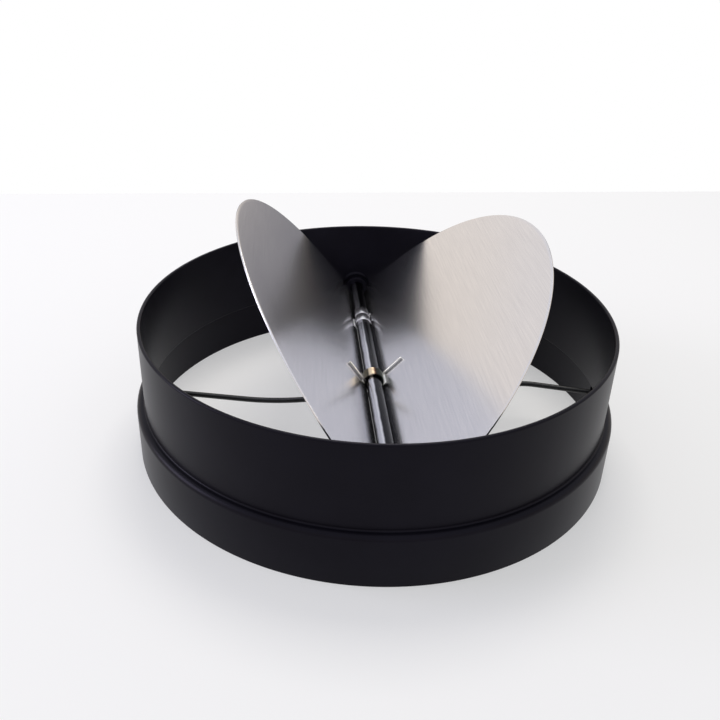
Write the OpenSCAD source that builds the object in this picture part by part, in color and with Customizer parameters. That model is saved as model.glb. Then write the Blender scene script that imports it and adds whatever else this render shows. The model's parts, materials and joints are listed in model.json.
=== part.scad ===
// Backdraft damper for a 300 mm round duct.
// A stepped, moulded sleeve carries a hinge shaft across its bore. Two thin half-disc blades
// swing on the shaft. A torsion spring presses them shut, down onto a bent stop rod.
// The origin is on the sleeve's axis at its bottom rim, and the shaft lies along Y.
// Both blades stand open, as the damper is shown.

/* [Sleeve] */
// Outside diameter of the upper spigot, which a duct slips over
spigot_od = 300; // [260:1:360]
// How far the lower socket stands out beyond the spigot, on the radius
socket_step = 5; // [4.6:0.1:8]
// Height of the whole sleeve
sleeve_h = 88; // [70:1:140]
// Height of the wide lower socket
socket_h = 34; // [30:1:44]
// Thickness of the moulded wall
wall = 2.5; // [1.8:0.1:3.5]
// Rounding of the shoulder's outer edge
shoulder_r = 3.5; // [1:0.1:3.6]
// Fillet in the corner above the shoulder
neck_r = 1; // [0.4:0.1:1]
// Rounding of the bottom rim's two edges
foot_r = 0.6; // [0.2:0.1:0.8]

/* [Hinge shaft] */
// Diameter of the hinge shaft
shaft_d = 10; // [8:0.5:12]
// Height of the shaft's axis above the bottom rim
shaft_z = 38; // [36:0.5:50]
// Chamfer on the shaft's ends
shaft_chamfer = 0.8; // [0.2:0.1:1.5]
// Radial clearance of the shaft in its bosses and in the blades' straps
shaft_fit = 0.05; // [0.02:0.01:0.1]
// Wall of the two shaft bosses around the shaft
boss_wall = 4; // [2:0.1:5]
// How far a shaft boss stands in from the bore
boss_reach = 8; // [6:0.5:12]
// Plastic left behind the shaft's end in a boss
boss_floor = 2.8; // [2:0.1:4]

/* [Blades] */
// Thickness of the blade sheet
sheet = 1; // [0.5:0.1:1.5]
// Gap between a blade's round edge and the bore
blade_gap = 5.5; // [5:0.1:9]
// Angle of the left blade above the horizontal, as shown
left_angle = 55; // [20:0.5:80]
// Angle of the right blade above the horizontal, as shown
right_angle = 47; // [20:0.5:80]
// Width of one rolled strap along the shaft
strap_w = 9.5; // [5:0.5:14]
// Gap along the shaft between one blade's strap and the other's
strap_gap = 1; // [0.5:0.1:3]
// Place along the shaft of the far pair of straps, one from each blade
far_pair_y = 82; // [40:0.5:105]
// Place along the shaft of the near pair of straps
near_pair_y = -97.5; // [-105:0.5:-40]
// Angle that a strap's rolled end stops short of its own sheet
strap_mouth = 62; // [50:1:80]
// Gap between the roots of the two blades under the shaft, when both lie level
root_gap = 2; // [1:0.1:4]
// Gap that a notch in a blade's root keeps from a strap or the coil as it swings
swing_gap = 1; // [0.6:0.1:2]
// Length along the root that the corner beside a boss is cut back, from the boss's face
corner_back = 8; // [6:0.5:14]
// Length of that corner cut, out along the blade
corner_reach = 16; // [14:0.5:24]

/* [Torsion spring] */
// Diameter of the spring wire
wire_d = 1.5; // [1:0.1:1.6]
// Gap between the shaft and the inside of the coil
coil_gap = 0.6; // [0.4:0.1:1.5]
// Middle of the coil, along the shaft
coil_y = -5; // [-20:0.5:20]
// Full turns in the coil, besides the part turn between its legs
coil_turns = 5; // [3:1:8]
// Pitch of the coil
coil_pitch = 1.72; // [1.7:0.02:2.2]
// Reach of each leg along its blade, from under the shaft
leg_reach = 22.5; // [16:0.5:40]

/* [Stop rod] */
// Diameter of the stop rod
rod_d = 3.6; // [2.5:0.1:5]
// Depth of the stop rod's axis below the shaft's axis
rod_drop = 13.1; // [12.8:0.1:18]
// Distance of the left bend in from the socket's wall
left_bend_in = 86.5; // [50:0.5:100]
// Distance of the right bend in from the socket's wall
right_bend_in = 45.5; // [30:0.5:60]
// Sideways place of the left bend
left_bend_y = -10.3; // [-15:0.1:0]
// Sideways place of the right bend
right_bend_y = 8.2; // [0:0.1:15]
// Sideways place of the rod's left end
left_end_y = 7.3; // [0:0.1:12]
// Sideways place of the rod's right end
right_end_y = -5.6; // [-12:0.1:0]
// Bend radius of the left bend
left_bend_r = 130; // [40:1:150]
// Bend radius of the right bend
right_bend_r = 35; // [20:1:80]
// Wall of the rod's two end sockets
rod_socket_wall = 2; // [1.5:0.1:4]
// How far a rod socket stands in from the socket's wall
rod_socket_reach = 4; // [3:0.1:8]
// Radial clearance of the rod in its end sockets
rod_fit = 0.05; // [0.02:0.01:0.2]

/* [Hidden] */
$fn = 96;

// Sleeve radii, from the spigot's outside inwards and outwards
spigot_r = spigot_od / 2;
bore_r = spigot_r - wall;
socket_r = spigot_r + socket_step;
socket_bore_r = socket_r - wall;
step_z = socket_h - wall;
rim_r = wall * 0.45;

// Hinge: the sheet rolls round the shaft and leaves it as a plane just below
shaft_r = shaft_d / 2;
curl_in_r = shaft_r + shaft_fit;
curl_out_r = curl_in_r + sheet;
boss_face_y = bore_r - boss_reach;
shaft_end_y = spigot_r - boss_floor;
boss_r = shaft_r + boss_wall;
blade_r = bore_r - blade_gap;
strap_pitch = strap_w + strap_gap;

// Spring: the coil's middle line, and its length along the shaft from leg to leg
wire_r = wire_d / 2;
coil_r = shaft_r + coil_gap + wire_r;
coil_sweep = 360 * coil_turns + 180 - left_angle - right_angle;
coil_len = coil_pitch * coil_sweep / 360;
leg_lift = 0.15;
leg_start = 0.5;

// Stop rod: its corner points in plan
rod_r = rod_d / 2;
rod_z = shaft_z - rod_drop;
rod_end_x = socket_bore_r - rod_fit;
rod_pts = [
  [-rod_end_x, left_end_y],
  [left_bend_in - socket_bore_r, left_bend_y],
  [socket_bore_r - right_bend_in, right_bend_y],
  [rod_end_x, right_end_y]
];

// Points on an arc round [cx, cy] from angle a0 to angle a1
function arc(cx, cy, r, a0, a1, n = 6) =
  [for (i = [0:n]) let (a = a0 + (a1 - a0) * i / n) [cx + r * cos(a), cy + r * sin(a)]];

// Distance from the foot at which a sheet's upper face clears a round of radius r
function clear_of(r) = sqrt(pow(r + swing_gap, 2) - pow(curl_in_r, 2));

// Heading of the line from plan point a to plan point b
function heading(a, b) = atan2(b[1] - a[1], b[0] - a[0]);

// Smooth step from 0 to 1 as t goes from 0 to 1
function ease(t) = let (u = min(max(t, 0), 1)) u * u * (3 - 2 * u);

// Sleeve

// Section of the stepped wall, with radius along x and height along y
module sleeve_section() {
  inner_r = max(shoulder_r - wall, 0.4);
  polygon(concat(
    arc(socket_r - foot_r, foot_r, foot_r, -90, 0),
    arc(socket_r - shoulder_r, socket_h - shoulder_r, shoulder_r, 0, 90, 8),
    arc(spigot_r + neck_r, socket_h + neck_r, neck_r, 270, 180),
    arc(spigot_r - rim_r, sleeve_h - rim_r, rim_r, 0, 90),
    arc(bore_r + rim_r, sleeve_h - rim_r, rim_r, 90, 180),
    arc(bore_r + neck_r, step_z + neck_r, neck_r, 180, 270),
    arc(socket_bore_r - inner_r, step_z - inner_r, inner_r, 90, 0),
    arc(socket_bore_r + foot_r, foot_r, foot_r, 180, 270)
  ));
}

// Round boss along +X, from radius x0 out to x1, with a rounded face and a slight draft
module boss(r, x0, x1) {
  edge = 1;
  draft = 0.06;
  rotate([0, 90, 0])
    rotate_extrude($fn = 64)
      polygon(concat(
        [[0, x1], [0, x0]],
        arc(r - edge, x0 + edge, edge, -90, 0, 4),
        [[r + draft * (x1 - x0), x1]]
      ));
}

// Puts its children at one of the rod's ends, with +X along the rod and out of the sleeve
module at_rod_end(inner, outer) {
  translate([outer[0], outer[1], rod_z])
    rotate([0, 0, heading(inner, outer)])
      children();
}

module rod_sockets(r, from, to) {
  for (e = [[rod_pts[1], rod_pts[0]], [rod_pts[2], rod_pts[3]]])
    at_rod_end(e[0], e[1])
      boss(r, from, to);
}

module sleeve() {
  rod_socket_r = rod_r + rod_socket_wall;
  back = wall / 2;
  color([0.09, 0.09, 0.11])
    difference() {
      union() {
        rotate_extrude($fn = 180)
          sleeve_section();
        for (side = [90, -90])
          rotate([0, 0, side])
            translate([0, 0, shaft_z])
              boss(boss_r, boss_face_y, spigot_r - back);
        intersection() {
          rod_sockets(rod_socket_r, -rod_socket_reach, 2 * wall);
          cylinder(r = socket_bore_r + back, h = socket_h, $fn = 180);
        }
      }
      translate([0, 0, shaft_z])
        rotate([90, 0, 0])
          cylinder(r = shaft_r + shaft_fit, h = 2 * (shaft_end_y + shaft_fit), center = true);
      for (e = [[rod_pts[1], rod_pts[0]], [rod_pts[2], rod_pts[3]]])
        at_rod_end(e[0], e[1])
          translate([-2 * rod_socket_reach, 0, 0])
            rotate([0, 90, 0])
              cylinder(r = rod_r + rod_fit, h = 2 * rod_socket_reach + rod_fit);
    }
}

// Hinge shaft

module hinge_shaft() {
  body_half = shaft_end_y - shaft_chamfer;
  color([0.13, 0.13, 0.15])
    translate([0, 0, shaft_z])
      rotate([90, 0, 0])
        union() {
          cylinder(r = shaft_r, h = 2 * body_half, center = true);
          for (flip = [0, 180])
            rotate([flip, 0, 0])
              translate([0, 0, body_half])
                cylinder(r1 = shaft_r, r2 = shaft_r - shaft_chamfer, h = shaft_chamfer);
        }
}

// Blades

// Blade lying flat to the +X side of a shaft at the origin.
// Its own straps sit at the heights own along Y, and the other blade's at the heights other.
module blade(own, other) {
  straps = [for (y = other) [y, strap_w / 2 + strap_gap, clear_of(curl_out_r)]];
  coil = [coil_y, coil_len / 2 + wire_r + swing_gap, clear_of(coil_r + wire_r)];
  translate([0, 0, -curl_out_r])
    linear_extrude(sheet)
      difference() {
        intersection() {
          circle(r = blade_r, $fn = 180);
          union() {
            translate([root_gap / 2, -blade_r])
              square([blade_r, 2 * blade_r]);
            for (y = own)
              translate([0, y - strap_w / 2])
                square([blade_r / 2, strap_w]);
          }
        }
        for (n = concat(straps, [coil]))
          translate([-1, n[0] - n[1]])
            square([n[2] + 1, 2 * n[1]]);
        corner_cut();
        mirror([0, 1])
          corner_cut();
      }
  for (y = own)
    translate([0, y, 0])
      strap();
}

// Slanting cut that takes the blade's corner clear of a shaft boss
module corner_cut() {
  root_y = boss_face_y - corner_back;
  round_y = sqrt(pow(blade_r, 2) - pow(corner_reach, 2));
  slope = (round_y - root_y) / corner_reach;
  polygon([
    [-1, root_y - slope],
    [2 * corner_reach, root_y + 2 * corner_reach * slope],
    [2 * corner_reach, 2 * blade_r],
    [-1, 2 * blade_r]
  ]);
}

// One strap: the sheet rolled up round the shaft, open between its end and the sheet
module strap() {
  mouth_h = curl_in_r - curl_out_r * sin(90 - strap_mouth);
  difference() {
    rotate([90, 0, 0])
      difference() {
        cylinder(r = curl_out_r, h = strap_w, center = true);
        cylinder(r = curl_in_r, h = strap_w + 1, center = true);
      }
    translate([0, -strap_w, -curl_in_r])
      cube([2 * curl_out_r, 2 * strap_w, mouth_h]);
  }
}

// Each pair has a strap of the left blade at its far side and one of the right at its near side
left_straps = [far_pair_y + strap_pitch / 2, near_pair_y + strap_pitch / 2];
right_straps = [far_pair_y - strap_pitch / 2, near_pair_y - strap_pitch / 2];

module left_blade() {
  color([0.72, 0.73, 0.76])
    translate([0, 0, shaft_z])
      rotate([0, left_angle, 0])
        mirror([1, 0, 0])
          blade(left_straps, right_straps);
}

module right_blade() {
  color([0.8, 0.79, 0.77])
    translate([0, 0, shaft_z])
      rotate([0, -right_angle, 0])
        blade(right_straps, left_straps);
}

// Torsion spring

// A leg seen along the shaft: it leaves the coil's underside, and has risen over the
// blade's upper face before it comes to the notch's edge
function leg_depth(x) =
  let (lying = curl_in_r - wire_r - leg_lift, edge = clear_of(coil_r + wire_r))
  coil_r + (lying - coil_r) * ease((x - leg_start) / (edge - 2 * leg_start));
// Point on a leg, turned up by the blade's angle on the side side (+1 right, -1 left)
function leg_point(x, y, angle, side) =
  let (d = leg_depth(x))
  [side * (x * cos(angle) + d * sin(angle)), y, x * sin(angle) - d * cos(angle)];

// Middle line of the wire: right leg, coil, left leg
coil_y0 = coil_y + coil_len / 2;
leg_steps = 16;
turn_steps = 24;
coil_steps = ceil(coil_sweep / 360 * turn_steps);
wire_path = concat(
  [for (i = [leg_steps:-1:1]) leg_point(leg_reach * i / leg_steps, coil_y0, right_angle, 1)],
  [for (i = [0:coil_steps])
    let (t = i / coil_steps, a = right_angle - 90 - coil_sweep * t)
    [coil_r * cos(a), coil_y0 - coil_len * t, coil_r * sin(a)]],
  [for (i = [1:leg_steps]) leg_point(leg_reach * i / leg_steps, coil_y0 - coil_len, left_angle, -1)]
);

// Tube of radius r with n sides along the points p, which never run straight along Y
module tube(p, r, n = 10) {
  last = len(p) - 1;
  function unit(v) = v / norm(v);
  function along(i) = unit(p[min(i + 1, last)] - p[max(i - 1, 0)]);
  rings = [for (i = [0:last])
    let (t = along(i), u = unit(cross([0, 1, 0], t)), v = cross(t, u))
    for (k = [0:n - 1]) p[i] + r * (cos(360 * k / n) * u + sin(360 * k / n) * v)];
  sides = [for (i = [0:last - 1], k = [0:n - 1])
    [i * n + k, i * n + (k + 1) % n, (i + 1) * n + (k + 1) % n, (i + 1) * n + k]];
  first_cap = [[for (k = [n - 1:-1:0]) k]];
  last_cap = [[for (k = [0:n - 1]) last * n + k]];
  polyhedron(rings, concat(sides, first_cap, last_cap));
}

module torsion_spring() {
  color([0.78, 0.7, 0.56])
    translate([0, 0, shaft_z])
      tube(wire_path, wire_r);
}

// Stop rod

// Bend of radius r that rounds the corner at b on the way from a to c, as n + 1 points
function bend(a, b, c, r, n = 8) =
  let (h0 = heading(a, b), turn = heading(b, c) - h0, hand = sign(turn))
  let (start = b - r * tan(abs(turn) / 2) * [cos(h0), sin(h0)])
  let (mid = start + hand * r * [-sin(h0), cos(h0)])
  [for (i = [0:n]) let (h = h0 + turn * i / n) mid + hand * r * [sin(h), -cos(h)]];

module stop_rod() {
  plan = concat(
    [rod_pts[0]],
    bend(rod_pts[0], rod_pts[1], rod_pts[2], left_bend_r),
    bend(rod_pts[1], rod_pts[2], rod_pts[3], right_bend_r),
    [rod_pts[3]]
  );
  color([0.1, 0.1, 0.11])
    translate([0, 0, rod_z])
      tube([for (p = plan) [p[0], p[1], 0]], rod_r, 24);
}

sleeve();
hinge_shaft();
left_blade();
right_blade();
torsion_spring();
stop_rod();
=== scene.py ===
# %% [markdown]
# # A backdraft damper, dressed for its picture
# This lesson finishes a duct damper: a stepped plastic sleeve, a hinge shaft across its bore, two
# thin metal half discs that swing on the shaft, a small torsion spring, and a bent stop rod under
# them. The solid model comes in as a fixed frame, so every piece made here has its place already.
# What is added is form that flat facets can't give, the finish of each surface, and the light.

# %% Load the frame
import json
import math

import bmesh
import bpy
import numpy as np
from mathutils import Matrix, Vector


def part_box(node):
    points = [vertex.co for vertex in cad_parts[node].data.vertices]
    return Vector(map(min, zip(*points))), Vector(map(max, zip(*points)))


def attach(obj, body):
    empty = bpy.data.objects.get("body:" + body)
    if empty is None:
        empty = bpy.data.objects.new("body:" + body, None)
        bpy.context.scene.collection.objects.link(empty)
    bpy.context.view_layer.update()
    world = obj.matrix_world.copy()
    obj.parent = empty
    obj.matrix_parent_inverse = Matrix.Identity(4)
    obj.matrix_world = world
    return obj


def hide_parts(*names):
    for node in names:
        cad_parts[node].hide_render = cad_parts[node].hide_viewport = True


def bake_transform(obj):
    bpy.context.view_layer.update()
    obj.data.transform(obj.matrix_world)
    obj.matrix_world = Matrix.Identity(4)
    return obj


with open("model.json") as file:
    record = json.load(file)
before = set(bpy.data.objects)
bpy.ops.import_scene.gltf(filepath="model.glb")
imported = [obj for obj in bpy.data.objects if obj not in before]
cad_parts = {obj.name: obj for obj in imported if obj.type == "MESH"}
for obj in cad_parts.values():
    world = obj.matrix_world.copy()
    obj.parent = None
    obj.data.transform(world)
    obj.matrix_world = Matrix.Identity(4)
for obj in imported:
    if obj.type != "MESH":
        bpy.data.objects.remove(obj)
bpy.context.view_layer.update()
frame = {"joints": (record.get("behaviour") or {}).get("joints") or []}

MM = 0.001
scene = bpy.context.scene
scene.view_settings.view_transform = "Standard"

# %% [markdown]
# ## The camera
# The picture looks down into the ring from in front, about a third of the way up to overhead.
# The camera stands where the ring's two ellipses, the shaft and the blades' edges all fall in the
# right places. It is aimed at a point near the middle of the bore and rolled by less than a
# degree. The small shift puts the object where it stands in the frame.

# %% Camera
CAMERA_AT = Vector((-55.87, -471.06, 319.58)) * MM
CAMERA_AIM = Vector((-28.0, 14.01, 50.0)) * MM
CAMERA_ROLL = math.radians(0.845)
LENS_MM = 41.08
SHIFT_RIGHT = 30 / 720
SHIFT_UP = -10 / 720

camera = bpy.data.objects.new("camera", bpy.data.cameras.new("camera"))
scene.collection.objects.link(camera)
aimed = (CAMERA_AIM - CAMERA_AT).to_track_quat("-Z", "Y").to_matrix().to_4x4()
camera.matrix_world = Matrix.Translation(CAMERA_AT) @ aimed @ Matrix.Rotation(CAMERA_ROLL, 4, "Z")
camera.data.lens = LENS_MM
camera.data.sensor_width = 36
camera.data.shift_x = SHIFT_RIGHT
camera.data.shift_y = SHIFT_UP
camera.data.clip_start = 0.01
scene.camera = camera
print("camera to aim:", round((CAMERA_AIM - CAMERA_AT).length / MM), "mm")

# %% [markdown]
# ## Sizes
# All sizes are in millimetres, as a maker would write them. The sleeve's height and outer radius,
# the hinge's height and the shaft's radius are read from the frame. The others are the maker's
# own dimensions, and each is named once.

# %% Sizes
sleeve_low, sleeve_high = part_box("sleeve")
shaft_low, shaft_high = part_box("hinge_shaft")
SLEEVE_H = sleeve_high.z / MM
SOCKET_R = sleeve_high.x / MM
HINGE_Z = frame["joints"][0]["pos_m"][2] / MM
SHAFT_R = (shaft_high.x - shaft_low.x) / 2 / MM
SHAFT_END = shaft_high.y / MM

WALL = 2.5
SPIGOT_R = SOCKET_R - 5
SOCKET_H = 34.0
BORE_R = SPIGOT_R - WALL
BOSS_R = SHAFT_R + 4
BOSS_FACE = BORE_R - 8
SHEET = 1.0
FIT = 0.05
BLADE_R = BORE_R - 5.5
LEFT_ANGLE = math.radians(55)
RIGHT_ANGLE = math.radians(47)
CURL_R = SHAFT_R + FIT + SHEET / 2
print("spigot radius", SPIGOT_R, "hinge height", round(HINGE_Z, 2), "shaft radius", round(SHAFT_R, 2))

# %% [markdown]
# ## Surfaces from arrays
# Every new piece is one or more grids of points. A grid is worked out as a whole array, joined
# into four-sided faces by index arithmetic, and written into a mesh in one go. Points that fall
# on each other at seams and poles are merged, and the faces are turned outwards.

# %% Grid and mesh helpers
def quads(rows, columns, round_rows, round_columns):
    """Corner indices of each face of a grid: point (i, j) has index i * columns + j."""
    i = np.arange(rows if round_rows else rows - 1)
    j = np.arange(columns if round_columns else columns - 1)
    i, j = (a.ravel() for a in np.meshgrid(i, j, indexing="ij"))
    i_next, j_next = (i + 1) % rows, (j + 1) % columns
    corners = (i * columns + j, i * columns + j_next, i_next * columns + j_next, i_next * columns + j)
    return np.stack(corners, 1)


def surface(points, round_rows=False, round_columns=False, marks=None):
    """A grid of points in mm with its faces, and a vector at each point for patterns to follow."""
    rows, columns = points.shape[:2]
    marks = points if marks is None else marks
    return points.reshape(-1, 3), quads(rows, columns, round_rows, round_columns), marks.reshape(-1, 3)


def piece(name, surfaces, crease=40):
    """One object from several grids, merged, facing outwards and smooth up to the crease angle."""
    starts = np.cumsum([0] + [len(s[0]) for s in surfaces])
    points = np.concatenate([s[0] for s in surfaces]) * MM
    faces = np.concatenate([s[1] + start for s, start in zip(surfaces, starts)])
    mesh = bpy.data.meshes.new(name)
    mesh.from_pydata(points, [], faces.tolist())
    mark = mesh.attributes.new("place_mm", "FLOAT_VECTOR", "POINT")
    mark.data.foreach_set("vector", np.concatenate([s[2] for s in surfaces]).ravel())
    work = bmesh.new()
    work.from_mesh(mesh)
    bmesh.ops.remove_doubles(work, verts=work.verts, dist=1e-7)
    bmesh.ops.dissolve_degenerate(work, edges=work.edges, dist=1e-8)
    bmesh.ops.recalc_face_normals(work, faces=work.faces)
    work.to_mesh(mesh)
    work.free()
    mesh.polygons.foreach_set("use_smooth", np.ones(len(mesh.polygons), bool))
    mesh.set_sharp_from_angle(angle=math.radians(crease))
    made = bpy.data.objects.new(name, mesh)
    scene.collection.objects.link(made)
    print(f"{name}: {len(mesh.polygons)} faces")
    return made


def arc(centre, radius, start, end, steps=8):
    """Points on an arc: centre + radius (cos a, sin a), with a from start to end in degrees."""
    a = np.radians(np.linspace(start, end, steps + 1))
    return np.stack([centre[0] + radius * np.cos(a), centre[1] + radius * np.sin(a)], 1)


def ease(t):
    """Smooth step: 3t^2 - 2t^3 with t held between 0 and 1."""
    t = np.clip(t, 0, 1)
    return t * t * (3 - 2 * t)

# %% [markdown]
# ## The sleeve
# The real sleeve is one injection moulding in black ABS. Its wall has one thickness all the way,
# so the shoulder outside has a matching ledge inside. The wall is a closed outline of arcs and
# straight lines turned round the duct's axis. The bosses that hold the shaft and the stop rod are
# turned round their own axes, and run into the wall. The shaft's bosses meet the bore in a soft
# fillet, as moulded corners do.

# %% Sleeve
def turned(outline, steps):
    """Outline (r, h) turned round Z: the point at angle a is (r cos a, r sin a, h)."""
    a = np.linspace(0, 2 * np.pi, steps, endpoint=False)[:, None]
    r, h = outline[:, 0], outline[:, 1]
    return np.stack([r * np.cos(a), r * np.sin(a), h + 0 * a], 2)


def wall_outline():
    """The stepped wall's section: each corner is an arc, and arcs are joined by straight lines."""
    ledge, rim, foot, shoulder, neck = SOCKET_H - WALL, WALL * 0.45, 0.6, 3.5, 1.0
    inside = SOCKET_R - WALL
    return np.concatenate([
        arc((SOCKET_R - foot, foot), foot, -90, 0),
        arc((SOCKET_R - shoulder, SOCKET_H - shoulder), shoulder, 0, 90, 14),
        arc((SPIGOT_R + neck, SOCKET_H + neck), neck, 270, 180),
        arc((SPIGOT_R - rim, SLEEVE_H - rim), rim, 0, 90),
        arc((BORE_R + rim, SLEEVE_H - rim), rim, 90, 180),
        arc((BORE_R + neck, ledge + neck), neck, 180, 270),
        arc((inside - shoulder + WALL, ledge - shoulder + WALL), shoulder - WALL, 90, 0),
        arc((inside + foot, foot), foot, 180, 270),
    ])


def shaft_boss(side):
    """Boss round the shaft: (r cos a, y, z + r sin a), where y runs from its face to the wall.
    Near the wall r grows by a quarter round, f (1 - sqrt(1 - e^2)) for e from 0 to 1."""
    a = np.linspace(0, 2 * np.pi, 96, endpoint=False)[:, None]
    face = np.concatenate([[[SHAFT_R + FIT, 3.0], [SHAFT_R + FIT, 0.3]],
                           [[SHAFT_R + FIT + 0.3, 0.0]], arc((BOSS_R - 1, 1), 1, -90, 0)])
    t = np.linspace(0, 1, 15)[1:]
    fillet = 2.2
    wall_y = np.sqrt(BORE_R**2 - (BOSS_R * np.cos(a)) ** 2)
    side_y = BOSS_FACE + 1 + (wall_y + 0.4 - BOSS_FACE - 1) * t
    near = np.clip((side_y - wall_y + fillet) / fillet, 0, 1)
    above_ledge = ease((HINGE_Z + BOSS_R * np.sin(a) - SOCKET_H) / 4)
    side_r = BOSS_R + 0.06 * (side_y - BOSS_FACE) + above_ledge * fillet * (1 - np.sqrt(1 - near**2))
    back_y, back_r = side_y[:, -1:] + 0.2, side_r[:, -1:] * 0.02
    r = np.concatenate([face[:, 0] + 0 * a, side_r, back_r], 1)
    y = np.concatenate([BOSS_FACE + face[:, 1] + 0 * a, side_y, back_y], 1)
    return np.stack([r * np.cos(a), side * y, HINGE_Z + r * np.sin(a)], 2)


ROD_R = 1.8
ROD_Z = HINGE_Z - 13.1
ROD_CORNERS = np.array([(-152.45, 7.3), (-66.0, -10.3), (107.0, 8.2), (152.45, -5.6)])
ROD_BENDS = (130.0, 35.0)


def rod_socket(inner, outer):
    """Small boss round the stop rod's end, turned round the line from inner to outer."""
    along = (outer - inner) / np.linalg.norm(outer - inner)
    across = np.array([-along[1], along[0]])
    r_out = ROD_R + 2
    outline = np.concatenate([[[ROD_R + FIT, 1.5], [ROD_R + FIT, 0]], arc((r_out - 0.8, 0.8), 0.8, -90, 0),
                              [[r_out + 0.2, 4.6], [0.02, 4.8]]])
    a = np.linspace(0, 2 * np.pi, 48, endpoint=False)[:, None]
    r, x = outline[:, 0], outline[:, 1] - 4
    flat = outer + x[:, None] * along + (r * np.cos(a))[..., None] * across
    return np.concatenate([flat, (ROD_Z + r * np.sin(a))[..., None]], 2)


sleeve = piece("sleeve_moulding", [
    surface(turned(wall_outline(), 360), True, True),
    surface(shaft_boss(1), True),
    surface(shaft_boss(-1), True),
    surface(rod_socket(ROD_CORNERS[1], ROD_CORNERS[0]), True),
    surface(rod_socket(ROD_CORNERS[2], ROD_CORNERS[3]), True),
])
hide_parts("sleeve")
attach(sleeve, "root")

# %% [markdown]
# ## The hinge shaft
# A ground rod with a small chamfer at each end. Most of each end is out of sight in its boss.

# %% Hinge shaft
chamfer = 0.8
half = np.array([(0.0, SHAFT_END), (SHAFT_R - chamfer, SHAFT_END), (SHAFT_R, SHAFT_END - chamfer)])
rod_outline = np.concatenate([half, [(SHAFT_R, 0.0)], half[::-1] * (1, -1)])
upright = turned(rod_outline, 96)
lying = np.stack([upright[..., 0], upright[..., 2], HINGE_Z + upright[..., 1]], 2)
shaft = piece("hinge_rod", [surface(lying, True)])
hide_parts("hinge_shaft")
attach(shaft, "root")

# %% [markdown]
# ## The blades
# Each blade is a half disc sheared from 1 mm sheet. Two straps of the same sheet are rolled round
# the shaft, and the root is notched where the other blade's straps and the spring's coil turn.
# Thin sheet is never quite flat, and a mirror finish shows it, so a low wave of a tenth of a
# millimetre or so runs through the face and dies out at the edges. A blade is worked out lying flat:
# s is the distance out from the shaft, y the place along it and h the height over the sheet's
# middle. It is then turned up to its angle.

# %% Blades
STRAP_W = 9.5
STRAP_PITCH = STRAP_W + 1
FAR_PAIR, NEAR_PAIR = 82.0, -97.5
LEFT_STRAPS = (FAR_PAIR + STRAP_PITCH / 2, NEAR_PAIR + STRAP_PITCH / 2)
RIGHT_STRAPS = (FAR_PAIR - STRAP_PITCH / 2, NEAR_PAIR - STRAP_PITCH / 2)
SWING_GAP = 1.0
WIRE_R = 0.75
COIL_R = SHAFT_R + 0.6 + WIRE_R
COIL_Y = -5.0
COIL_SWEEP = 2 * np.pi * 5 + np.pi - LEFT_ANGLE - RIGHT_ANGLE
COIL_LENGTH = 1.72 * COIL_SWEEP / (2 * np.pi)


def clear_of(radius):
    """Distance from the foot at which a sheet's upper face clears a round: sqrt(R^2 - d^2)."""
    return math.sqrt((radius + SWING_GAP) ** 2 - (SHAFT_R + FIT) ** 2)


def root_line(y, other_straps):
    """Where the sheet starts: 1 mm out, further at the notches and at the slanting corners."""
    start = np.full_like(y, 1.0)
    notches = [(s, STRAP_W / 2 + 1, clear_of(SHAFT_R + FIT + SHEET)) for s in other_straps]
    notches.append((COIL_Y, COIL_LENGTH / 2 + WIRE_R + SWING_GAP, clear_of(COIL_R + WIRE_R)))
    for middle, half_width, depth in notches:
        inside = ease((half_width + 0.15 - np.abs(y - middle)) / 0.3)
        start = np.maximum(start, 1.0 + (depth - 1.0) * inside)
    corner_y, corner_s = BOSS_FACE - 8, 16.0
    slope = corner_s / (math.sqrt(BLADE_R**2 - corner_s**2) - corner_y)
    return np.maximum(start, (np.abs(y) - corner_y) * slope)


def columns_along(other_straps):
    """Places of the grid's columns: close together at the ends and on both sides of a notch's edge."""
    end = math.sqrt(BLADE_R**2 - 16.0**2) - 0.25
    y = [end * np.sin(np.linspace(-np.pi / 2, np.pi / 2, 181))]
    edges = [s + k * (STRAP_W / 2 + 1) for s in other_straps for k in (-1, 1)]
    edges += [COIL_Y + k * (COIL_LENGTH / 2 + WIRE_R + SWING_GAP) for k in (-1, 1)]
    y += [np.array([e + d for e in edges for d in (-0.17, -0.15, -0.07, 0, 0.07, 0.15, 0.17)])]
    return np.unique(np.concatenate(y).round(4))


def wave(s, y, seed):
    """Low wave of the sheet: three slanting sines, times a window that is 0 at root and rim."""
    a, b, c = np.random.default_rng(seed).uniform(0, 2 * np.pi, 3)
    waves = np.sin(y / 31 + a) + 0.7 * np.sin((y + 1.4 * s) / 47 + b) + 0.5 * np.sin((s - 0.6 * y) / 19 + c)
    window = ease((s - 10) / 40) * (1 - ease((np.hypot(s, y) / BLADE_R - 0.8) / 0.19))
    return 0.09 * waves * window


def sheet_surface(other_straps, seed):
    """Closed skin of the half disc. At each place y a loop runs out along the upper face, round
    the rim's edge, back along the lower face and round the root's edge."""
    y = columns_along(other_straps)[:, None]
    s0 = root_line(y, other_straps)
    s1 = np.sqrt(BLADE_R**2 - y**2)
    t = (1 - np.cos(np.linspace(0, np.pi, 41))) / 2
    t = 0.5 * t + 0.5 * np.linspace(0, 1, 41)
    edge, half_sheet = 0.16, SHEET / 2
    out = s0 + edge + (s1 - s0 - 2 * edge) * t
    turn = np.radians(np.linspace(90, 0, 4))
    rim_s, rim_h = edge * np.cos(turn), half_sheet - edge + edge * np.sin(turn)
    s = np.concatenate([out, s1 - edge + rim_s[1:], s1 - edge + rim_s[:0:-1], out[:, ::-1],
                        s0 + edge - rim_s[1:], s0 + edge - rim_s[:0:-1]], 1)
    h = np.concatenate([half_sheet + 0 * t, rim_h[1:], -rim_h[:0:-1], -half_sheet + 0 * t,
                        -rim_h[1:], rim_h[:0:-1]])
    return np.stack([s, y + 0 * s, h + wave(s, y, seed)], 2)


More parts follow.
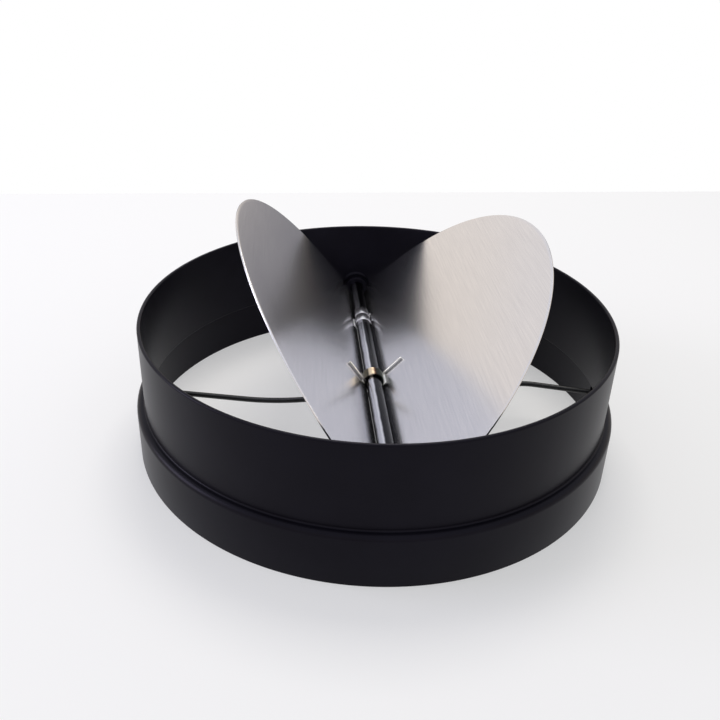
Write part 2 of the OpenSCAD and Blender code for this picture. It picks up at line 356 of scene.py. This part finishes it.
def strap_surface(y_middle):
    """Rolled strap: a rounded strip section swept from inside the sheet to the foot, and on round
    the shaft by 298 degrees. The section is (y, h), and the sweep turns h into a radius."""
    half_w, half_t, edge = STRAP_W / 2, SHEET / 2 - 0.004, 0.16
    section = np.concatenate([arc((half_w - edge, half_t - edge), edge, 0, 90, 3),
                              arc((edge - half_w, half_t - edge), edge, 90, 180, 3),
                              arc((edge - half_w, edge - half_t), edge, 180, 270, 3),
                              arc((half_w - edge, edge - half_t), edge, 270, 360, 3)])
    straight = np.linspace(2.6, 0, 4)[:-1]
    turn = np.radians(np.linspace(-90, -388, 73))
    run_s = np.concatenate([straight, 0 * turn])[:, None]
    angle = np.concatenate([np.full(len(straight), turn[0]), turn])[:, None]
    radius = CURL_R - section[:, 1]
    s = run_s + radius * np.cos(angle)
    h = CURL_R + radius * np.sin(angle)
    grid = np.stack([s, y_middle + section[:, 0] + 0 * s, h], 2)
    ends = [grid[k:k + 1].mean(1, keepdims=True).repeat(grid.shape[1], 1) for k in (0, -1)]
    return np.concatenate([ends[0], grid, ends[1]])


def raised(flat, angle, side):
    """Turns (s, y, h) up to the blade's angle: out = (side cos b, 0, sin b), up = (-side sin b, 0, cos b)."""
    s, y, h = flat[..., 0], flat[..., 1], flat[..., 2] - CURL_R
    x = side * (s * math.cos(angle) - h * math.sin(angle))
    z = HINGE_Z + s * math.sin(angle) + h * math.cos(angle)
    return np.stack([x, y, z], -1)


def blade(name, angle, side, own, other, seed):
    flat = sheet_surface(other, seed)
    ends = [flat[k:k + 1].mean(1, keepdims=True).repeat(flat.shape[1], 1) for k in (0, -1)]
    parts = [(np.concatenate([ends[0], flat, ends[1]]))] + [strap_surface(y) for y in own]
    made = piece(name, [surface(raised(p, angle, side), False, True, p) for p in parts], 30)
    return made


left_blade = blade("left_blade_sheet", LEFT_ANGLE, -1, LEFT_STRAPS, RIGHT_STRAPS, 3)
right_blade = blade("right_blade_sheet", RIGHT_ANGLE, 1, RIGHT_STRAPS, LEFT_STRAPS, 8)
for made, name in ((left_blade, "left_blade"), (right_blade, "right_blade")):
    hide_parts(name)
    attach(made, name)

# %% [markdown]
# ## Wires: the torsion spring and the stop rod
# Both are round wire, so both are a circle carried along a path. The spring's coil is a helix
# round the shaft, and each end leaves it as a straight leg that lies on a blade. It is made in two
# halves that meet in the middle of the coil.

# %% Wires
def tube(path, radius, sides=16):
    """Circle carried along a path: p + r (cos k u + sin k v), with u and v square to the path.
    Each end is closed by a ring at half the radius and a point, so it is slightly rounded."""
    along = np.gradient(path, axis=0)
    along /= np.linalg.norm(along, axis=1, keepdims=True)
    u = np.cross([0.0, 1.0, 0.0], along)
    u /= np.linalg.norm(u, axis=1, keepdims=True)
    v = np.cross(along, u)
    k = np.linspace(0, 2 * np.pi, sides, endpoint=False)[None, :, None]
    ring = np.cos(k) * u[:, None] + np.sin(k) * v[:, None]
    reach = np.array([0.0, 0.72, 0.95, 1.0])
    first = [path[0] + radius * (q * ring[0] + (0.28 * (1 - q)) * -along[0]) for q in reach[:3]]
    last = [path[-1] + radius * (q * ring[-1] + (0.28 * (1 - q)) * along[-1]) for q in reach[2::-1]]
    body = path[:, None] + radius * ring
    return np.concatenate([np.stack(first), body[1:-1] if len(path) > 2 else body, np.stack(last)])


def leg(side, angle, y):
    """A leg from the coil's underside out along a blade: it eases up from the coil's radius to lie
    on the sheet. Its depth below the hinge is eased, and its reach grows evenly."""
    x = np.linspace(0, 22.5, 33)[1:]
    lying = SHAFT_R + FIT - WIRE_R - 0.15
    depth = COIL_R + (lying - COIL_R) * ease((x - 0.5) / (clear_of(COIL_R + WIRE_R) - 1.0))
    along = side * (x * math.cos(angle) + depth * math.sin(angle))
    return np.stack([along, y + 0 * x, HINGE_Z + x * math.sin(angle) - depth * math.cos(angle)], 1)


turn = np.linspace(0, 1, 241)
swing = RIGHT_ANGLE - np.pi / 2 - COIL_SWEEP * turn
coil_far = COIL_Y + COIL_LENGTH / 2
coil = np.stack([COIL_R * np.cos(swing), coil_far - COIL_LENGTH * turn, HINGE_Z + COIL_R * np.sin(swing)], 1)
middle = len(turn) // 2
right_half = np.concatenate([leg(1, RIGHT_ANGLE, coil_far)[::-1], coil[:middle + 1]])
left_half = np.concatenate([coil[middle:], leg(-1, LEFT_ANGLE, coil_far - COIL_LENGTH)])
for name, path, body, far in (("spring_right_half", right_half, "right_blade", 1),
                              ("spring_left_half", left_half, "left_blade", -1)):
    made = piece(name, [surface(tube(path, WIRE_R), False, True)], 60)
    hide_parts("torsion_spring")
    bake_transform(made)


def rounded(corner, before, after, radius, steps=14):
    """Bend in a corner of the route: an arc that touches both straight runs."""
    a, b = corner - before, after - corner
    start, end = np.arctan2(a[1], a[0]), np.arctan2(b[1], b[0])
    hand = np.sign(end - start)
    tangent = corner - radius * math.tan(abs(end - start) / 2) * np.array([math.cos(start), math.sin(start)])
    centre = tangent + hand * radius * np.array([-math.sin(start), math.cos(start)])
    heading = np.linspace(start, end, steps + 1)
    return centre + hand * radius * np.stack([np.sin(heading), -np.cos(heading)], 1)


c = ROD_CORNERS
route = np.concatenate([c[:1], rounded(c[1], c[0], c[2], ROD_BENDS[0]),
                        rounded(c[2], c[1], c[3], ROD_BENDS[1]), c[3:]])
rod_path = np.concatenate([route, np.full((len(route), 1), ROD_Z)], 1)
stop_rod = piece("stop_wire", [surface(tube(rod_path, ROD_R, 32), False, True)], 60)
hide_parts("stop_rod")
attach(stop_rod, "root")

# %% [markdown]
# ## Materials
# Each material starts from the real one and how its surface was made. Colours are written as
# sRGB hex values, and one function turns them to linear light. Patterns are sized in
# millimetres on the piece.

# %% Material helpers
def colour(hex_value):
    """sRGB hex to linear: c / 12.92 below 0.04045, else ((c + 0.055) / 1.055)^2.4."""
    c = np.array([int(hex_value[k:k + 2], 16) / 255 for k in (1, 3, 5)])
    linear = np.where(c <= 0.04045, c / 12.92, ((c + 0.055) / 1.055) ** 2.4)
    return (*linear, 1.0)


def add(tree, kind, inputs=(), **settings):
    """Adds a node of a kind, sets its properties, and sets or links its inputs."""
    made = tree.nodes.new(kind)
    for key, value in settings.items():
        setattr(made, key, value)
    for key, value in dict(inputs).items():
        socket = made.inputs[key]
        if isinstance(value, bpy.types.NodeSocket):
            tree.links.new(value, socket)
        else:
            socket.default_value = value
    return made


def material(name, **fixed):
    """A new material with a Principled shader and the values that are the same all over."""
    made = bpy.data.materials.new(name)
    made.use_nodes = True
    shader = made.node_tree.nodes["Principled BSDF"]
    for key, value in fixed.items():
        shader.inputs[key.replace("_", " ")].default_value = value
    return made, made.node_tree, shader


def ramp(tree, factor, *stops):
    """A colour ramp over (position, hex colour) stops."""
    made = add(tree, "ShaderNodeValToRGB", {"Fac": factor})
    elements = made.color_ramp.elements
    while len(elements) < len(stops):
        elements.new(0.5)
    for element, (position, hex_value) in zip(elements, stops):
        element.position, element.color = position, colour(hex_value)
    return made.outputs["Color"]


PER_MM = 1000.0

# %% Black ABS
def moulded_black_abs():
    """Moulded ABS: black with a violet cast, a satin skin with a fine spark-eroded grain.
    The grain scatters the skin's gloss, so its specular level is low."""
    made, tree, shader = material("moulded_black_abs", Roughness=0.33, IOR=1.53,
                                  Specular_IOR_Level=0.1, Specular_Tint=colour("#ece6ff"))
    place = add(tree, "ShaderNodeTexCoord").outputs["Object"]
    cloudy = add(tree, "ShaderNodeTexNoise", {"Vector": place, "Scale": PER_MM / 45, "Detail": 3.0})
    shade = ramp(tree, cloudy.outputs["Fac"], (0.35, "#0e0d13"), (0.65, "#131219"))
    tree.links.new(shade, shader.inputs["Base Color"])
    grain = add(tree, "ShaderNodeTexNoise", {"Vector": place, "Scale": PER_MM / 0.7, "Detail": 2.0})
    bump = add(tree, "ShaderNodeBump", {"Height": grain.outputs["Fac"], "Strength": 0.12, "Distance": 0.05 * MM})
    tree.links.new(bump.outputs["Normal"], shader.inputs["Normal"])
    return made


sleeve.data.materials.append(moulded_black_abs())

# %% Shaft
def blackened_steel_painted_highlight():
    """Ground steel with a black oxide skin. A pale stripe along its upper left is a painted highlight
    in the base colour, put on the upper half of the rod only."""
    made, tree, shader = material("blackened_steel_painted_highlight", Metallic=1.0, Roughness=0.24)
    place = add(tree, "ShaderNodeTexCoord").outputs["Object"]
    uneven = add(tree, "ShaderNodeTexNoise", {"Vector": place, "Scale": PER_MM / 9, "Detail": 3.0})
    across = add(tree, "ShaderNodeSeparateXYZ", {0: place})
    shaken = add(tree, "ShaderNodeMapRange", {"Value": uneven.outputs["Fac"], "To Min": -0.0004, "To Max": 0.0004})
    line = add(tree, "ShaderNodeMath", {0: across.outputs["X"], 1: shaken.outputs[0]}, operation="ADD")
    width = add(tree, "ShaderNodeMapRange", {"Value": line.outputs[0], "From Min": -5 * MM, "From Max": 5 * MM})
    top = add(tree, "ShaderNodeMath", {0: across.outputs["Z"], 1: HINGE_Z * MM}, operation="GREATER_THAN")
    # The pale band in this ramp is a painted highlight along the rod's upper left, not wear.
    skin = ramp(tree, width.outputs[0], (0.06, "#1d1d22"), (0.13, "#b4b4bc"), (0.36, "#c4c4cb"), (0.45, "#1d1d22"))
    shade = add(tree, "ShaderNodeMix", {"Factor": top.outputs[0], "A": colour("#1d1d22"), "B": skin}, data_type="RGBA")
    tree.links.new(shade.outputs["Result"], shader.inputs["Base Color"])
    return made


shaft.data.materials.append(blackened_steel_painted_highlight())

# %% Blade sheet
def brushed_mill_aluminium():
    """Mill finish sheet, lightly brushed along the hinge: bright, with soft streaks."""
    made, tree, shader = material("brushed_mill_aluminium", Metallic=1.0, Roughness=0.23)
    place = add(tree, "ShaderNodeAttribute", attribute_name="place_mm").outputs["Vector"]
    brushed = add(tree, "ShaderNodeMapping", {"Vector": place, "Scale": (1.0, 0.02, 1.0)})
    lines = add(tree, "ShaderNodeTexNoise", {"Vector": brushed.outputs[0], "Scale": 1.6, "Detail": 4.0})
    shade = ramp(tree, lines.outputs["Fac"], (0.3, "#d5d4d8"), (0.7, "#dfdee1"))
    tree.links.new(shade, shader.inputs["Base Color"])
    bump = add(tree, "ShaderNodeBump", {"Height": lines.outputs["Fac"], "Strength": 0.05, "Distance": 0.03 * MM})
    tree.links.new(bump.outputs["Normal"], shader.inputs["Normal"])
    return made


sheet_metal = brushed_mill_aluminium()
left_blade.data.materials.append(sheet_metal)
right_blade.data.materials.append(sheet_metal)

# %% Wires
def zinc_wire_painted_light():
    """Drawn wire with a yellow zinc plate. Its colour paints light across the spring: painted shade
    darkens the coil, a painted straw highlight runs along its upper left, and painted reflections make the legs
    bright."""
    made, tree, shader = material("zinc_wire_painted_light", Metallic=1.0, Roughness=0.3)
    place = add(tree, "ShaderNodeTexCoord").outputs["Object"]
    across = add(tree, "ShaderNodeSeparateXYZ", {0: place})
    width = add(tree, "ShaderNodeMapRange", {"Value": across.outputs["X"], "From Min": -12 * MM, "From Max": 12 * MM})
    # This ramp across the spring is painted light: dark painted shade on the coil, a straw painted highlight on it,
    # and bright painted reflections on the legs.
    shade = ramp(tree, width.outputs[0], (0.18, "#d2cdc2"), (0.25, "#4b483e"), (0.34, "#4b483e"), (0.38, "#e0d0b6"),
                 (0.48, "#d9c6aa"), (0.53, "#5a3f33"), (0.57, "#35342f"), (0.74, "#3f4440"), (0.82, "#eeede8"))
    tree.links.new(shade, shader.inputs["Base Color"])
    return made


def black_coated_wire():
    """Steel wire with a thin black coat: satin, a little uneven."""
    made, tree, shader = material("black_coated_wire", Roughness=0.4, IOR=1.5)
    place = add(tree, "ShaderNodeTexCoord").outputs["Object"]
    spots = add(tree, "ShaderNodeTexNoise", {"Vector": place, "Scale": PER_MM / 3.0})
    shade = ramp(tree, spots.outputs["Fac"], (0.35, "#0c0c0e"), (0.65, "#141416"))
    tree.links.new(shade, shader.inputs["Base Color"])
    return made


spring_metal = zinc_wire_painted_light()
for name in ("spring_right_half", "spring_left_half"):
    bpy.data.objects[name].data.materials.append(spring_metal)
stop_rod.data.materials.append(black_coated_wire())

# %% [markdown]
# ## Floor and light
# The object stands on white paper in soft light. The sky is pale all round, a little warmer near
# the horizon, and below the horizon, past the paper's edge, the room's floor is grey. Bright
# sheet metal needs such a room to reflect, or it looks flat. The camera sees white behind the
# object, and the paper still takes the object's shadow.

# %% Floor and light
FLOOR_HALF = 0.5
floor_mesh = bpy.data.meshes.new("floor")
corners = [(x * FLOOR_HALF, y * FLOOR_HALF, 0) for x, y in ((-1, -1), (1, -1), (1, 1), (-1, 1))]
floor_mesh.from_pydata(corners, [], [(0, 1, 2, 3)])
floor = bpy.data.objects.new("floor", floor_mesh)
scene.collection.objects.link(floor)


def shown_directly(tree):
    """1 for camera, glossy and transmission rays, which show the background, and 0 for others."""
    path = add(tree, "ShaderNodeLightPath")
    rays = [path.outputs[name] for name in ("Is Camera Ray", "Is Glossy Ray", "Is Transmission Ray")]
    first = add(tree, "ShaderNodeMath", {0: rays[0], 1: rays[1]}, operation="MAXIMUM")
    both = add(tree, "ShaderNodeMath", {0: first.outputs[0], 1: rays[2]}, operation="MAXIMUM")
    return both.outputs[0], rays[0]


def white_sweep():
    """Matte white paper. Rays that show the background see it white, less what is in shadow."""
    made, tree, shader = material("white_sweep", Base_Color=colour("#f0f0f0"), Roughness=0.9)
    shown, _ = shown_directly(tree)
    glow = add(tree, "ShaderNodeEmission", {"Color": colour("#ffffff"), "Strength": shown})
    dimmed = add(tree, "ShaderNodeMixShader", {0: 0.42, 1: shader.outputs[0], 2: glow.outputs[0]})
    tree.links.new(dimmed.outputs[0], tree.nodes["Material Output"].inputs["Surface"])
    return made


floor_mesh.materials.append(white_sweep())

SKY_LEVEL = 0.6
world = bpy.data.worlds.new("studio")
world.use_nodes = True
scene.world = world
sky = world.node_tree
shown, by_camera = shown_directly(sky)
level = add(sky, "ShaderNodeMapRange", {"Value": shown, "To Min": SKY_LEVEL, "To Max": 1.0})
height = add(sky, "ShaderNodeSeparateXYZ", {0: add(sky, "ShaderNodeTexCoord").outputs["Object"]})
band = add(sky, "ShaderNodeMapRange", {"Value": height.outputs["Z"], "From Min": -0.2, "From Max": 0.6})
room = ramp(sky, band.outputs[0], (0.0, "#6f6f76"), (0.18, "#85858c"), (0.3, "#f3eadf"), (0.42, "#fff4e6"), (0.8, "#f1f3fa"))
seen = add(sky, "ShaderNodeMix", {"Factor": by_camera, "A": room, "B": colour("#ffffff")}, data_type="RGBA")
sky.links.new(seen.outputs["Result"], sky.nodes["Background"].inputs["Color"])
sky.links.new(level.outputs[0], sky.nodes["Background"].inputs["Strength"])


def softbox(name, at, size, power, tint):
    """A square lamp at a place in metres, aimed at the middle of the damper."""
    lamp = bpy.data.lights.new(name, "AREA")
    lamp.size, lamp.energy, lamp.color = size, power, colour(tint)[:3]
    made = bpy.data.objects.new(name, lamp)
    scene.collection.objects.link(made)
    made.location = at
    made.rotation_euler = (Vector((0, 0, 0.06)) - Vector(at)).to_track_quat("-Z", "Y").to_euler()
    return made


softbox("left_softbox", (-1.6, 0.1, 0.7), 0.9, 12, "#eceaff")
softbox("top_softbox", (0.1, 0.7, 1.6), 0.7, 12, "#fffaf2")
